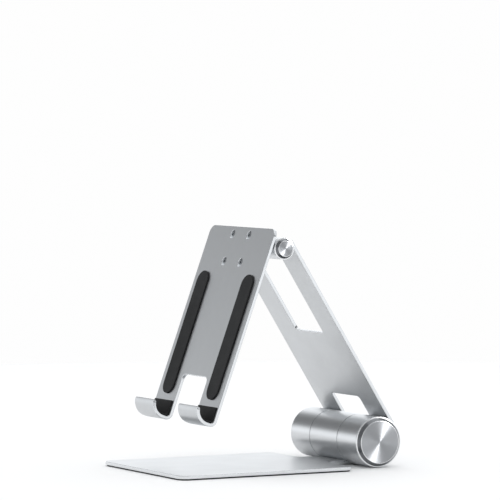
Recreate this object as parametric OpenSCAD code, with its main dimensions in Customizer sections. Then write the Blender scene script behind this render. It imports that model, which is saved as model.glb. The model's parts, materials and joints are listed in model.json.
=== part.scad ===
// Folding tablet stand: a flat base, a leaning arm and a holder with two hooks, joined by two
// friction hinges. The origin is the centre of the mat's underside, on the table. X runs to
// the right, Y to the back and Z up. Sizes are in millimetres and angles in degrees.

/* [Base] */
// Width of the base plate
base_w = 107.5; // [96:0.5:128]
// Depth of the base plate
base_d = 113.8; // [94:0.2:136]
// Corner radius of the base plate
base_r = 6; // [3:0.5:12]
// Thickness of the aluminium sheet in the base, the arm and the holder
plate_t = 2; // [1.7:0.1:2.4]
// Thickness of the rubber mat under the base plate
mat_t = 0.8; // [0.6:0.1:2]
// How far the mat's edge stays inside the plate's edge
mat_inset = 1; // [0.5:0.5:6]
// Distance from the base's rear edge back to the lower hinge axis
hinge_setback = 22.3; // [20:0.1:30]
// Fillet where the base plate's tongue leaves its rear edge
tongue_fillet = 4; // [2:0.5:5]

/* [Lower hinge] */
// Diameter of the lower barrel
lo_d = 30; // [28:0.2:36]
// Length of the barrel over its two polished rims, which the arm fits between
barrel_len = 83; // [78:0.5:100]
// Length of the middle knuckle
mid_w = 34; // [28:0.2:36]
// Gap that each dark seam washer fills
seam_w = 0.5; // [0.3:0.1:0.8]
// How deep the tongue is let into the middle knuckle
seat_bite = 2.4; // [2:0.1:2.8]
// How deep the arm is let into the outer knuckles
arm_bite = 1.7; // [1.4:0.1:2]
// Diameter of the lower shaft
lo_shaft_d = 8; // [7:0.1:8.5]
// Outer diameter of the lower bushes
lo_bush_d = 12; // [11:0.1:12.6]
// Length of the solid inner end of each lower outer knuckle, which holds the bush
lo_bush_len = 12; // [10.5:0.5:12.5]
// Diameter of the pocket for the lower friction stack
lo_pocket_d = 22; // [19:0.5:23]
// Width across the flats of the lower lock nuts
lo_nut_af = 13; // [11:0.1:14]
// Thickness of the lower lock nuts
lo_nut_t = 4.5; // [3.5:0.1:5]

/* [Upper hinge] */
// Diameter of the upper barrel
up_d = 13; // [12.4:0.1:16]
// How deep the arm is let into the upper outer knuckles
up_bite = 1; // [0.8:0.1:1.2]
// Diameter of the upper shaft
up_shaft_d = 5; // [4.5:0.1:5.4]
// Diameter of the threaded ends of the upper shaft
up_thread_d = 4; // [3:0.1:4.2]
// Outer diameter of the upper bushes
up_bush_d = 7; // [6.6:0.1:7.8]
// Length of the solid inner end of each upper outer knuckle
up_bush_len = 12; // [10:0.5:15]
// Diameter of the pocket for the upper friction stack
up_pocket_d = 9.4; // [9.2:0.1:9.8]
// Width across the flats of the upper lock nuts
up_nut_af = 7; // [6:0.1:7.4]
// Thickness of the upper lock nuts
up_nut_t = 3.2; // [2.5:0.1:4]
// Gap between the upper barrel and the holder's back
saddle_gap = 0.9; // [0.6:0.1:2]
// Width of the saddle block that carries the holder
saddle_w = 31; // [24:0.5:32]
// Thickness of the saddle block
saddle_t = 4; // [3.5:0.1:4.5]
// How far the saddle block reaches below the upper axis
saddle_below = 16; // [14:0.5:24]
// How far the saddle block reaches above the upper axis
saddle_above = 7; // [6.5:0.5:8]

/* [Arm] */
// Distance between the two hinge axes, measured along the arm
arm_len = 131.5; // [124:0.5:162]
// Lean of the arm forward from upright
arm_lean = 31.6; // [20:0.1:40]
// Top of the lower window, measured along the arm from the lower axis
low_window_top = 21.6; // [19:0.2:34]
// Bottom of the upper window, measured along the arm from the lower axis
high_window_bottom = 67; // [50:0.5:84]
// Corner radius of the arm's windows
window_r = 2.5; // [1.5:0.5:5]
// How far the legs run past the lower axis
leg_over_low = 1.5; // [1:0.1:2.2]
// How far the legs run past the upper axis
leg_over_high = 1.5; // [0.5:0.1:2]

/* [Holder] */
// Angle between the holder and the arm
wedge = 51.9; // [40:0.1:90]
// Width of the holder over its two hooks
holder_w = 84; // [72:0.5:104]
// Width of each prong and hook
hook_w = 25.5; // [21:0.5:31]
// Distance from the upper axis down to the tablet's seat
holder_drop = 110; // [96:1:114]
// Distance from the upper axis up to the holder's top edge
holder_top = 9; // [8:0.5:14]
// Height of the gap between the prongs above the tablet's seat
prong_h = 26; // [18:0.5:40]
// Corner radius of the holder's outline
holder_r = 5; // [2:0.5:8]
// Room for the tablet between the back pads and the lip lining
throat = 9; // [7.5:0.1:11]
// Height of the hook's lip above the tablet's seat
lip_h = 6; // [5:0.2:9]
// Outer bend radius at the front of the hook
hook_front_r = 9; // [7:0.5:9]
// Outer bend radius at the back of the hook
hook_rear_r = 4; // [3:0.5:4.5]
// Thickness of the back pads and of the hook linings
pad_t = 1; // [0.8:0.1:1.6]
// Width of the back pads
pad_w = 14; // [10:0.5:20]
// Edge of bare metal beside each hook lining
lining_inset = 1; // [0.5:0.1:2]
// How far each hook lining climbs the holder's front above the seat
lining_climb = 9; // [8:0.5:12]
// Gap from a hook lining up to its back pad
pad_gap = 4; // [2:0.5:8]

/* [Screws] */
// Thread diameter of the base screws
base_screw_d = 4; // [3:0.1:4.4]
// Length of the base screws
base_screw_len = 8; // [6:0.5:9]
// Thread diameter of the arm and saddle screws
small_screw_d = 3; // [2.5:0.1:3.2]
// Length of the arm screws
arm_screw_len = 8; // [6:0.5:8.5]
// Length of the saddle screws
saddle_screw_len = 5.5; // [4:0.5:5.5]
// Spacing of the base screws
base_screw_pitch = 22; // [18:0.5:26]
// Spacing of the saddle screws across the holder
saddle_screw_pitch = 21; // [16:0.5:22]
// Spacing of each leg's two screws
leg_screw_pitch = 5.8; // [5.4:0.1:6]
// Height of each leg's screws above the lower axis, measured along the arm
leg_screw_rise = 3; // [2:0.2:3.4]

/* [Hidden] */
$fn = 96;

// Running clearance of each shaft in its bushes, on the radius
run_gap = 0.05;
// Radius by which a seam washer stays below the barrel's surface
seam_sink = 0.6;
// Width of each end cap's polished rim, along the axis
rim_t = 0.7;
// Chamfer on each polished rim
rim_chamfer = 0.2;
// How far an end cap's cone rises to its disc
cap_cone_h = 2;
// How far an end cap's spigot reaches into the pocket, and its wall
cap_spigot_h = 3;
cap_spigot_wall = 1.2;
// Width of the bright rim left around the cone, on the radius
cap_rim_w = 0.9;
// Run of the cone from the rim to the disc, on the radius, on the lower and the upper caps
cap_cone_run = 1.5;
cap_small_cone_run = 1;
// Thickness of the thrust washers
washer_t = 1.2;
// Sheet thickness and cup height of each disc spring
spring_t = 0.8;
spring_h = 0.6;
// Room around the thrust washers and the springs in the lower pockets
stack_air = 1.2;
// How far each shaft's end stands out of its nut
nut_over = 1;
// Diameters of the pins that lock the shafts in their middle knuckles
pin_d = 3;
small_pin_d = 1.5;
// Head of a countersunk screw: its diameter and depth for each millimetre of thread diameter
head_ratio = 1.85;
head_depth_ratio = 0.5;
// Corner radius of the gap between the prongs
prong_r = 3.5;
// Small margin that keeps an edge or an end inside a round surface
edge_gap = 0.6;
// How far a cut runs past the face that it opens
cut = 1;

lo_r = lo_d / 2;
up_r = up_d / 2;
tongue_top = mat_t + plate_t;
lo_y = base_d / 2 + hinge_setback;
lo_z = tongue_top + lo_r - seat_bite;
// Half lengths along the hinge axes
mid_x = mid_w / 2;
out_x = mid_x + seam_w;
rim_x = barrel_len / 2;
leg_x = rim_x - rim_t;
// Arm: distance of its front face behind the lower axis, and the upper axis ahead of that
arm_front = lo_r - arm_bite;
up_y = arm_front - (up_r - up_bite);
// Holder: its back face and front face ahead of the upper axis
holder_back = up_r + saddle_gap;
holder_front = holder_back + plate_t;
hook_depth = 2 * plate_t + 2 * pad_t + throat;
hook_bottom = -holder_drop - pad_t - plate_t;
// Height of the U that the hooks and their linings are cut from
hook_tall = 3 * hook_front_r;
prong_x = holder_w / 2 - hook_w / 2;
// How far the tongue runs behind the lower axis, just short of the knuckle's surface
tongue_over = sqrt(pow(lo_r, 2) - pow(lo_r - seat_bite, 2)) - edge_gap;

LEFT = -1;
RIGHT = 1;
ALUMINIUM = [0.80, 0.81, 0.82];
TURNED = [0.72, 0.73, 0.74];
STEEL = [0.55, 0.56, 0.58];
BRONZE = [0.70, 0.55, 0.32];
RUBBER = [0.09, 0.09, 0.10];

// ---- Frames ----

module at_lower_hinge() { translate([0, lo_y, lo_z]) children(); }

// Z runs up the arm from the lower axis, and -Y is the arm's front
module on_arm() { at_lower_hinge() rotate([arm_lean, 0, 0]) children(); }

module at_upper_hinge() { on_arm() translate([0, up_y, arm_len]) children(); }

// Z runs up the holder from the upper axis, and -Y is the side that the tablet leans on
module on_holder() { at_upper_hinge() rotate([-wedge, 0, 0]) children(); }

// ---- Shared shapes ----

// Flat outline with round corners
module round_rect(w, d, r) {
    square([w - 2 * r, d], center = true);
    square([w, d - 2 * r], center = true);
    for (x = [-1, 1])
        for (y = [-1, 1])
            translate([x * (w / 2 - r), y * (d / 2 - r)]) circle(r);
}

// Solid of revolution about X, from points of [distance along X, radius], turned to one side
module turned(side, points) {
    mirror([side < 0 ? 1 : 0, 0, 0])
        rotate([0, 90, 0])
            rotate_extrude() polygon([for (p = points) [p[1], p[0]]]);
}

// Ring about X, from one distance along X to another
module ring(side, x0, x1, r_in, r_out) {
    turned(side, [[x0, r_in], [x1, r_in], [x1, r_out], [x0, r_out]]);
}

// Solid round bar along X, from one X to another
module rod(x0, x1, r) {
    translate([x0, 0, 0]) rotate([0, 90, 0]) cylinder(h = x1 - x0, r = r);
}

// Sheet that stands on edge: the outline's X stays X and its Y becomes Z, between two Y values
module upright(y0, y1) {
    translate([0, y1, 0]) rotate([90, 0, 0]) linear_extrude(y1 - y0) children();
}

// Countersunk screw whose flat head faces +Z at the origin
module countersunk(d, len) {
    head_r = d * head_ratio / 2;
    rotate_extrude()
        polygon([
            [0, 0], [head_r, 0], [d / 2, -d * head_depth_ratio], [d / 2, -len], [0, -len]
        ]);
}

// Outer knuckle: a bush seat at its inner end, and a pocket for the friction stack
module outer_knuckle(side, r, bush_r, bush_len, pocket_r) {
    turned(side, [
        [out_x, bush_r], [out_x + bush_len, bush_r], [out_x + bush_len, pocket_r],
        [leg_x, pocket_r], [leg_x, r], [out_x, r]
    ]);
}

// End cap: a spigot in the pocket, a polished rim, a cone and a spun disc
module end_cap(side, r, cone_run, pocket_r) {
    cone_r = r - cap_rim_w;
    turned(side, [
        [leg_x, 0], [leg_x, pocket_r - cap_spigot_wall],
        [leg_x - cap_spigot_h, pocket_r - cap_spigot_wall],
        [leg_x - cap_spigot_h, pocket_r], [leg_x, pocket_r], [leg_x, r],
        [rim_x - rim_chamfer, r], [rim_x, r - rim_chamfer], [rim_x, cone_r],
        [rim_x + cap_cone_h, cone_r - cone_run], [rim_x + cap_cone_h, 0]
    ]);
}

module thrust_washer(side, bush_len, r_in, r_out) {
    ring(side, out_x + bush_len, out_x + bush_len + washer_t, r_in, r_out);
}

// Two cupped disc springs, the second turned over against the first
module disc_springs(side, bush_len, r_in, r_out) {
    x0 = out_x + bush_len + washer_t;
    x1 = x0 + 2 * (spring_t + spring_h);
    turned(side, [
        [x0, r_out], [x0 + spring_t, r_out], [x0 + spring_t + spring_h, r_in],
        [x0 + spring_h, r_in]
    ]);
    turned(side, [
        [x1, r_out], [x1 - spring_t, r_out], [x1 - spring_t - spring_h, r_in],
        [x1 - spring_h, r_in]
    ]);
}

function stack_end(bush_len) = out_x + bush_len + washer_t + 2 * (spring_t + spring_h);

module lock_nut(side, bush_len, af, thickness, hole_r) {
    x0 = stack_end(bush_len);
    mirror([side < 0 ? 1 : 0, 0, 0])
        translate([x0, 0, 0])
            rotate([0, 90, 0])
                difference() {
                    cylinder(h = thickness, r = af / sqrt(3), $fn = 6);
                    translate([0, 0, -cut]) cylinder(h = thickness + 2 * cut, r = hole_r);
                }
}

// ---- Base ----

module base_outline() {
    round_rect(base_w, base_d, base_r);
    tongue_y = lo_y + tongue_over;
    translate([-mid_x, 0]) square([mid_w, tongue_y]);
    for (side = [LEFT, RIGHT])
        difference() {
            translate([side * (mid_x + tongue_fillet / 2), base_d / 2 + tongue_fillet / 2])
                square(tongue_fillet, center = true);
            translate([side * (mid_x + tongue_fillet), base_d / 2 + tongue_fillet])
                circle(tongue_fillet);
        }
}

module base_screw_places() {
    for (side = [LEFT, RIGHT])
        translate([side * base_screw_pitch / 2, lo_y, mat_t]) rotate([180, 0, 0]) children();
}

module base_plate() {
    color(ALUMINIUM)
        difference() {
            translate([0, 0, mat_t]) linear_extrude(plate_t) base_outline();
            base_screw_places() countersunk(base_screw_d, base_screw_len);
        }
}

module base_mat() {
    color(RUBBER)
        linear_extrude(mat_t)
            round_rect(base_w - 2 * mat_inset, base_d - 2 * mat_inset, base_r - mat_inset);
}

module base_screws() {
    color(STEEL) base_screw_places() countersunk(base_screw_d, base_screw_len);
}

// ---- Lower hinge ----

module lower_pin_hole() {
    translate([0, 0, -lo_r + seat_bite]) cylinder(h = lo_r, d = pin_d);
}

module lower_middle_knuckle() {
    color(TURNED)
        difference() {
            at_lower_hinge() ring(RIGHT, -mid_x, mid_x, lo_shaft_d / 2, lo_r);
            translate([0, lo_y, tongue_top - lo_r]) cube([mid_w + cut, lo_d, lo_d], center = true);
            at_lower_hinge() lower_pin_hole();
            base_screw_places() countersunk(base_screw_d, base_screw_len);
        }
}

module lower_shaft() {
    x_end = stack_end(lo_bush_len) + lo_nut_t + nut_over;
    color(STEEL)
        at_lower_hinge()
            difference() {
                rod(-x_end, x_end, lo_shaft_d / 2);
                lower_pin_hole();
            }
}

module lower_shaft_pin() { color(STEEL) at_lower_hinge() lower_pin_hole(); }

module lower_seam_washer(side) {
    color(RUBBER)
        at_lower_hinge()
            difference() {
                ring(side, mid_x, out_x, lo_shaft_d / 2 + run_gap, lo_r - seam_sink);
                translate([0, 0, tongue_top - lo_z - lo_r])
                    cube([2 * out_x + cut, lo_d, lo_d], center = true);
            }
}
module lower_seam_washer_left() { lower_seam_washer(LEFT); }
module lower_seam_washer_right() { lower_seam_washer(RIGHT); }

module lower_thrust_washer(side) {
    color(BRONZE)
        at_lower_hinge()
            thrust_washer(side, lo_bush_len, lo_shaft_d / 2, lo_pocket_d / 2 - stack_air);
}
module lower_thrust_washer_left() { lower_thrust_washer(LEFT); }
module lower_thrust_washer_right() { lower_thrust_washer(RIGHT); }

module lower_disc_springs(side) {
    color(STEEL)
        at_lower_hinge()
            disc_springs(side, lo_bush_len, lo_shaft_d / 2, lo_pocket_d / 2 - 2 * stack_air);
}
module lower_disc_springs_left() { lower_disc_springs(LEFT); }
module lower_disc_springs_right() { lower_disc_springs(RIGHT); }

module lower_lock_nut(side) {
    color(STEEL)
        at_lower_hinge() lock_nut(side, lo_bush_len, lo_nut_af, lo_nut_t, lo_shaft_d / 2);
}
module lower_lock_nut_left() { lower_lock_nut(LEFT); }
module lower_lock_nut_right() { lower_lock_nut(RIGHT); }

// ---- Arm ----

module leg_screw_places() {
    screw_mid = out_x + lo_bush_len / 2;
    for (side = [LEFT, RIGHT])
        for (step = [-1, 1])
            translate([
                side * (screw_mid + step * leg_screw_pitch / 2), arm_front + plate_t, leg_screw_rise
            ])
                rotate([-90, 0, 0]) children();
}

// Window between the legs, with round corners at its closed end
module leg_gap(z_open, z_closed) {
    away = z_closed > z_open ? 1 : -1;
    z_low = min(z_open, z_closed - away * window_r);
    z_high = max(z_open, z_closed - away * window_r);
    translate([-out_x, z_low]) square([2 * out_x, z_high - z_low]);
    translate([-out_x + window_r, min(z_open, z_closed)])
        square([2 * (out_x - window_r), abs(z_closed - z_open)]);
    for (side = [LEFT, RIGHT])
        translate([side * (out_x - window_r), z_closed - away * window_r]) circle(window_r);
}

module arm_outline() {
    difference() {
        translate([-leg_x, -leg_over_low])
            square([2 * leg_x, arm_len + leg_over_low + leg_over_high]);
        leg_gap(-leg_over_low - cut, low_window_top);
        leg_gap(arm_len + leg_over_high + cut, high_window_bottom);
    }
}

module arm_plate() {
    color(ALUMINIUM)
        on_arm()
            difference() {
                upright(arm_front, arm_front + plate_t) arm_outline();
                leg_screw_places() countersunk(small_screw_d, arm_screw_len);
            }
}

module arm_screws() {
    color(STEEL) on_arm() leg_screw_places() countersunk(small_screw_d, arm_screw_len);
}

module lower_outer_knuckle(side) {
    color(TURNED)
        on_arm()
            difference() {
                outer_knuckle(side, lo_r, lo_bush_d / 2, lo_bush_len, lo_pocket_d / 2);
                translate([0, arm_front + lo_r, 0]) cube([barrel_len, lo_d, lo_d], center = true);
                leg_screw_places() countersunk(small_screw_d, arm_screw_len);
            }
}
module lower_outer_knuckle_left() { lower_outer_knuckle(LEFT); }
module lower_outer_knuckle_right() { lower_outer_knuckle(RIGHT); }

module lower_bush(side) {
    color(BRONZE)
        on_arm() ring(side, out_x, out_x + lo_bush_len, lo_shaft_d / 2 + run_gap, lo_bush_d / 2);
}
module lower_bush_left() { lower_bush(LEFT); }
module lower_bush_right() { lower_bush(RIGHT); }

module lower_end_cap(side) {
    color(ALUMINIUM) on_arm() end_cap(side, lo_r, cap_cone_run, lo_pocket_d / 2);
}
module lower_end_cap_left() { lower_end_cap(LEFT); }
module lower_end_cap_right() { lower_end_cap(RIGHT); }

// ---- Upper hinge, arm side ----

module upper_outer_knuckle(side) {
    color(TURNED)
        at_upper_hinge()
            difference() {
                outer_knuckle(side, up_r, up_bush_d / 2, up_bush_len, up_pocket_d / 2);
                translate([0, 2 * up_r - up_bite, 0]) cube([barrel_len, up_d, up_d], center = true);
            }
}
module upper_outer_knuckle_left() { upper_outer_knuckle(LEFT); }
module upper_outer_knuckle_right() { upper_outer_knuckle(RIGHT); }

module upper_bush(side) {
    color(BRONZE)
        at_upper_hinge()
            ring(side, out_x, out_x + up_bush_len, up_shaft_d / 2 + run_gap, up_bush_d / 2);
}
module upper_bush_left() { upper_bush(LEFT); }
module upper_bush_right() { upper_bush(RIGHT); }

module upper_end_cap(side) {
    color(ALUMINIUM) at_upper_hinge() end_cap(side, up_r, cap_small_cone_run, up_pocket_d / 2);
}
module upper_end_cap_left() { upper_end_cap(LEFT); }
module upper_end_cap_right() { upper_end_cap(RIGHT); }

// ---- Upper hinge, holder side ----

module upper_pin_hole() {
    translate([0, -up_r + edge_gap, 0])
        rotate([-90, 0, 0]) cylinder(h = 2 * (up_r - edge_gap), d = small_pin_d);
}

module saddle_screw_places() {
    for (side = [LEFT, RIGHT])
        for (z = [-saddle_below + small_screw_d, saddle_above - small_screw_d])
            translate([side * saddle_screw_pitch / 2, -holder_front, z])
                rotate([90, 0, 0]) children();
}

module upper_saddle_knuckle() {
    color(TURNED)
        on_holder()
            difference() {
                union() {
                    rod(-mid_x, mid_x, up_r);
                    translate([-saddle_w / 2, -holder_back, -saddle_below])
                        cube([saddle_w, saddle_t, saddle_below + saddle_above]);
                }
                rod(-mid_x - cut, mid_x + cut, up_shaft_d / 2);
                upper_pin_hole();
                saddle_screw_places() countersunk(small_screw_d, saddle_screw_len);
            }
}

module upper_shaft() {
    x_step = out_x + up_bush_len;
    x_end = stack_end(up_bush_len) + up_nut_t + nut_over;
    color(STEEL)
        on_holder()
            difference() {
                union() {
                    rod(-x_end, x_end, up_thread_d / 2);
                    rod(-x_step, x_step, up_shaft_d / 2);
                }
                upper_pin_hole();
            }
}

module upper_shaft_pin() { color(STEEL) on_holder() upper_pin_hole(); }

module upper_seam_washer(side) {
    color(RUBBER)
        on_holder() ring(side, mid_x, out_x, up_shaft_d / 2 + run_gap, up_r - seam_sink);
}
module upper_seam_washer_left() { upper_seam_washer(LEFT); }
module upper_seam_washer_right() { upper_seam_washer(RIGHT); }

module upper_thrust_washer(side) {
    color(BRONZE)
        on_holder() thrust_washer(side, up_bush_len, up_thread_d / 2, up_nut_af / 2 + edge_gap / 2);
}
module upper_thrust_washer_left() { upper_thrust_washer(LEFT); }
module upper_thrust_washer_right() { upper_thrust_washer(RIGHT); }

module upper_disc_springs(side) {
    color(STEEL) on_holder() disc_springs(side, up_bush_len, up_thread_d / 2, up_nut_af / 2);
}
module upper_disc_springs_left() { upper_disc_springs(LEFT); }
module upper_disc_springs_right() { upper_disc_springs(RIGHT); }

module upper_lock_nut(side) {
    color(STEEL)
        on_holder() lock_nut(side, up_bush_len, up_nut_af, up_nut_t, up_thread_d / 2);
}
module upper_lock_nut_left() { upper_lock_nut(LEFT); }
module upper_lock_nut_right() { upper_lock_nut(RIGHT); }

// ---- Holder ----

// What a round corner of radius r takes off a square corner at the origin
module corner_waste(r) {
    difference() {
        translate([-cut, -cut]) square(r + cut);
        translate([r, r]) circle(r);
    }
}

// Side view of a U, open at the top, whose wall starts grow inside the hook's outer face:
// Y is depth, back from the lip to the holder's back at 0, and Z is height
module hook_pocket(grow) {
    difference() {
        translate([-hook_depth + grow, hook_bottom + grow])
            square([hook_depth - 2 * grow, hook_tall]);
        translate([-hook_depth + grow, hook_bottom + grow]) corner_waste(hook_front_r - grow);
        translate([-grow, hook_bottom + grow]) mirror([1, 0]) corner_waste(hook_rear_r - grow);
    }
}

// Bent strip between two depths of the hook's wall, cut to its lip height and back height
module hook_strip(outer, inner, lip_top, back_top) {
    difference() {
        hook_pocket(outer);
        hook_pocket(inner);
        translate([-hook_depth - cut, lip_top]) square([hook_depth + cut / 2 - inner, hook_tall]);
        translate([-hook_depth - cut, back_top]) square([hook_depth + 2 * cut, hook_tall]);
    }
}

// Takes a side view to a solid strip of the given width, centred on one prong
module bent_strip(side, w) {
    translate([side * prong_x - w / 2, -holder_back, 0])
        rotate([90, 0, 90]) linear_extrude(w) children();
}

module holder_outline() {
    z_low = -holder_drop + prong_h;
    difference() {
        union() {
            translate([0, (holder_top + z_low - holder_r) / 2])
                round_rect(holder_w, holder_top - z_low + holder_r, holder_r);
            for (side = [LEFT, RIGHT])
                translate([side * prong_x - hook_w / 2, -holder_drop + lip_h])
                    square([hook_w, prong_h]);
        }
        translate([0, z_low - prong_h / 2])
            round_rect(holder_w - 2 * hook_w, prong_h, prong_r);
        translate([-holder_w / 2 + hook_w, -holder_drop + lip_h - cut])
            square([holder_w - 2 * hook_w, prong_h / 2]);
    }
}

module holder_plate() {
    color(ALUMINIUM)
        on_holder()
            difference() {
                union() {
                    upright(-holder_front, -holder_back) holder_outline();
                    for (side = [LEFT, RIGHT])
                        bent_strip(side, hook_w)
                            hook_strip(0, plate_t, -holder_drop + lip_h, -holder_drop + lip_h + cut);
                }
                saddle_screw_places() countersunk(small_screw_d, saddle_screw_len);
            }
}

module saddle_screws() {
    color(STEEL)
        on_holder() saddle_screw_places() countersunk(small_screw_d, saddle_screw_len);
}

module hook_lining(side) {
    color(RUBBER)
        on_holder()
            bent_strip(side, hook_w - 2 * lining_inset)
                hook_strip(plate_t, plate_t + pad_t, -holder_drop + lip_h - lining_inset,
                    -holder_drop + lining_climb);
}
module hook_lining_left() { hook_lining(LEFT); }
module hook_lining_right() { hook_lining(RIGHT); }

module back_pad(side) {
    z_low = -holder_drop + lining_climb + pad_gap;
    z_high = -saddle_below - pad_gap;
    color(RUBBER)
        on_holder()
            upright(-holder_front - pad_t, -holder_front)
                translate([side * prong_x, (z_low + z_high) / 2])
                    round_rect(pad_w, z_high - z_low, pad_w / 2 - edge_gap);
}
module back_pad_left() { back_pad(LEFT); }
module back_pad_right() { back_pad(RIGHT); }

base_plate();
base_mat();
base_screws();
lower_middle_knuckle();
lower_shaft();
lower_shaft_pin();
lower_seam_washer_left();
lower_seam_washer_right();
lower_thrust_washer_left();
lower_thrust_washer_right();
lower_disc_springs_left();
lower_disc_springs_right();
lower_lock_nut_left();
lower_lock_nut_right();
arm_plate();
arm_screws();
lower_outer_knuckle_left();
lower_outer_knuckle_right();
lower_bush_left();
lower_bush_right();
lower_end_cap_left();
lower_end_cap_right();
upper_outer_knuckle_left();
upper_outer_knuckle_right();
upper_bush_left();
upper_bush_right();
upper_end_cap_left();
upper_end_cap_right();
upper_saddle_knuckle();
upper_shaft();
upper_shaft_pin();
upper_seam_washer_left();
upper_seam_washer_right();
upper_thrust_washer_left();
upper_thrust_washer_right();
upper_disc_springs_left();
upper_disc_springs_right();
upper_lock_nut_left();
upper_lock_nut_right();
holder_plate();
saddle_screws();
hook_lining_left();
hook_lining_right();
back_pad_left();
back_pad_right();
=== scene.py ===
"""Looks of a folding aluminium tablet stand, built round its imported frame.

The base, the arm and the holder are remade as finished sheet, turned and moulded pieces in the
frame's own places. The shafts, pins, bushes, washers, springs and nuts inside the two hinges
keep their frame meshes and are given their finishes.
"""

import json
import logging
import math
from collections.abc import Callable, Iterable, Sequence
from dataclasses import dataclass, replace
from enum import Enum

import bmesh
import bpy
from mathutils import Matrix, Quaternion, Vector

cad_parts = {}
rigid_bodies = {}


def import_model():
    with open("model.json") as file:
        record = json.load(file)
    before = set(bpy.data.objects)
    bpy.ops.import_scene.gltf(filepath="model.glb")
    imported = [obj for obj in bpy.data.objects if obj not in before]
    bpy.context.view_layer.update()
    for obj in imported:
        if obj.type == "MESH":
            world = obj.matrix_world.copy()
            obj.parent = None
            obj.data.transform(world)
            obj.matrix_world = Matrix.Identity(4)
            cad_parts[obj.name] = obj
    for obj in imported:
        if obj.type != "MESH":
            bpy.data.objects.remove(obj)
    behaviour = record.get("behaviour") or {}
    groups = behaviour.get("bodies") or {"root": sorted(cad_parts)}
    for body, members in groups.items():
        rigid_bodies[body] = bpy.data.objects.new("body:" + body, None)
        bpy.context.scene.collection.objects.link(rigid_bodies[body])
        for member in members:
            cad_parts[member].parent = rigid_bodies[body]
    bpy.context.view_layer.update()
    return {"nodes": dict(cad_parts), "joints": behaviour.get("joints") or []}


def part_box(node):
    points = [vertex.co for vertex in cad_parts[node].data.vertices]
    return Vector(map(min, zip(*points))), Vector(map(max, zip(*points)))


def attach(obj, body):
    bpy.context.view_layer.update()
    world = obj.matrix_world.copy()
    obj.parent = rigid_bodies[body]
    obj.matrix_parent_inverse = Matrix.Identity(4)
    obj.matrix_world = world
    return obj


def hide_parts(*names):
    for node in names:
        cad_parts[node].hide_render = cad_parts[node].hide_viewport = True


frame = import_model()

LOG = logging.getLogger("tablet_stand")
MM = 0.001
SHARP_ANGLE = math.radians(30)
SMOOTH_ANGLE = math.radians(46)
MERGE_MM = 0.0005
FLAT_ENOUGH = 0.5
FACING_DOWN = -0.9
OVERCUT_MM = 1.0
CORNER_STEPS = 12
TURN_STEPS = 128
HEXAGON = 6
FACE, EDGE, DISC, PAINTED_SHADE_RING = 0, 1, 2, 3
# The marks and the slow patches of a surface are added, and the sum mostly lies between these.
MARK_SHARE = 0.6
MIX_LOW, MIX_HIGH = 0.5, 1.1


class Side(Enum):
    """The two sides of the stand, with the sign of X on each."""

    LEFT = -1
    RIGHT = 1

    @property
    def word(self) -> str:
        """Gives the side's name as the frame's nodes spell it."""
        return self.name.lower()


class Grain(Enum):
    """How a surface was made, which sets the pattern that it carries."""

    BLASTED = "blasted"
    TURNED = "turned"
    SPUN = "spun"
    POLISHED = "polished"
    MOULDED = "moulded"


# ---- Places ----


def joint_place(name: str) -> Vector:
    """Gives a joint's position in the frame.

    Args:
        name: The joint's name in the record.

    Returns:
        Its position in metres.
    """
    found = next(joint for joint in frame["joints"] if joint["name"] == name)
    return Vector(found["pos_m"])


def box_mm(node: str) -> tuple[Vector, Vector]:
    """Gives a node's box in millimetres.

    Args:
        node: The node's name.

    Returns:
        Its lowest and highest corners.
    """
    low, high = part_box(node)
    return low / MM, high / MM


@dataclass(frozen=True)
class Places:
    """The local frames that pieces are drawn in, in millimetres, and where they stand.

    Each matrix takes a local point in millimetres to the frame in metres. Z runs up the arm or
    up the holder, and -Y is the side that faces the user.
    """

    arm_lean: float = 31.6
    wedge: float = 51.9

    @property
    def row(self) -> Matrix:
        """Gives the frame itself, in millimetres."""
        return Matrix.Scale(MM, 4)

    @property
    def lower_axis(self) -> Vector:
        """Gives a point on the lower hinge's axis."""
        return joint_place("lower_hinge")

    @property
    def upper_axis(self) -> Vector:
        """Gives a point on the upper hinge's axis."""
        return joint_place("upper_hinge")

    def leaning(self, origin: Vector, degrees: float) -> Matrix:
        """Gives a local frame that is turned about X.

        Args:
            origin: Where its origin is, in metres.
            degrees: How far it leans towards the user.

        Returns:
            The matrix from local millimetres to frame metres.
        """
        turn = Matrix.Rotation(math.radians(degrees), 4, "X")
        return Matrix.Translation(origin) @ turn @ Matrix.Scale(MM, 4)

    @property
    def lower(self) -> Matrix:
        """Gives the upright frame on the lower axis."""
        return self.leaning(self.lower_axis, 0)

    @property
    def arm(self) -> Matrix:
        """Gives the arm's frame, on the lower axis."""
        return self.leaning(self.lower_axis, self.arm_lean)

    @property
    def arm_top(self) -> Matrix:
        """Gives the arm's frame, on the upper axis."""
        return self.leaning(self.upper_axis, self.arm_lean)

    @property
    def holder(self) -> Matrix:
        """Gives the holder's frame, on the upper axis."""
        return self.leaning(self.upper_axis, self.arm_lean - self.wedge)


PLACES = Places()

# ---- Finishes ----


def linear(hex_colour: str) -> tuple[float, float, float, float]:
    """Turns an sRGB hex colour into linear light.

    Args:
        hex_colour: Six hex digits.

    Returns:
        Linear red, green, blue and an alpha of one.
    """
    shares = [int(hex_colour[i:i + 2], 16) / 255 for i in (0, 2, 4)]
    light = [s / 12.92 if s <= 0.04045 else ((s + 0.055) / 1.055) ** 2.4 for s in shares]
    return (*light, 1.0)


def add_node(
    tree: bpy.types.NodeTree, kind: str, inputs: dict | None = None, **settings: object
) -> bpy.types.Node:
    """Adds a shader node, with its settings and its inputs set or linked.

    Args:
        tree: The tree that gets the node.
        kind: The node's type.
        inputs: Socket names or numbers, with values or the sockets that feed them.
        settings: The node's own settings.

    Returns:
        The node.
    """
    node = tree.nodes.new(kind)
    for name, value in settings.items():
        setattr(node, name, value)
    for key, value in (inputs or {}).items():
        if isinstance(value, bpy.types.NodeSocket):
            tree.links.new(value, node.inputs[key])
        else:
            node.inputs[key].default_value = value
    return node


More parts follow.
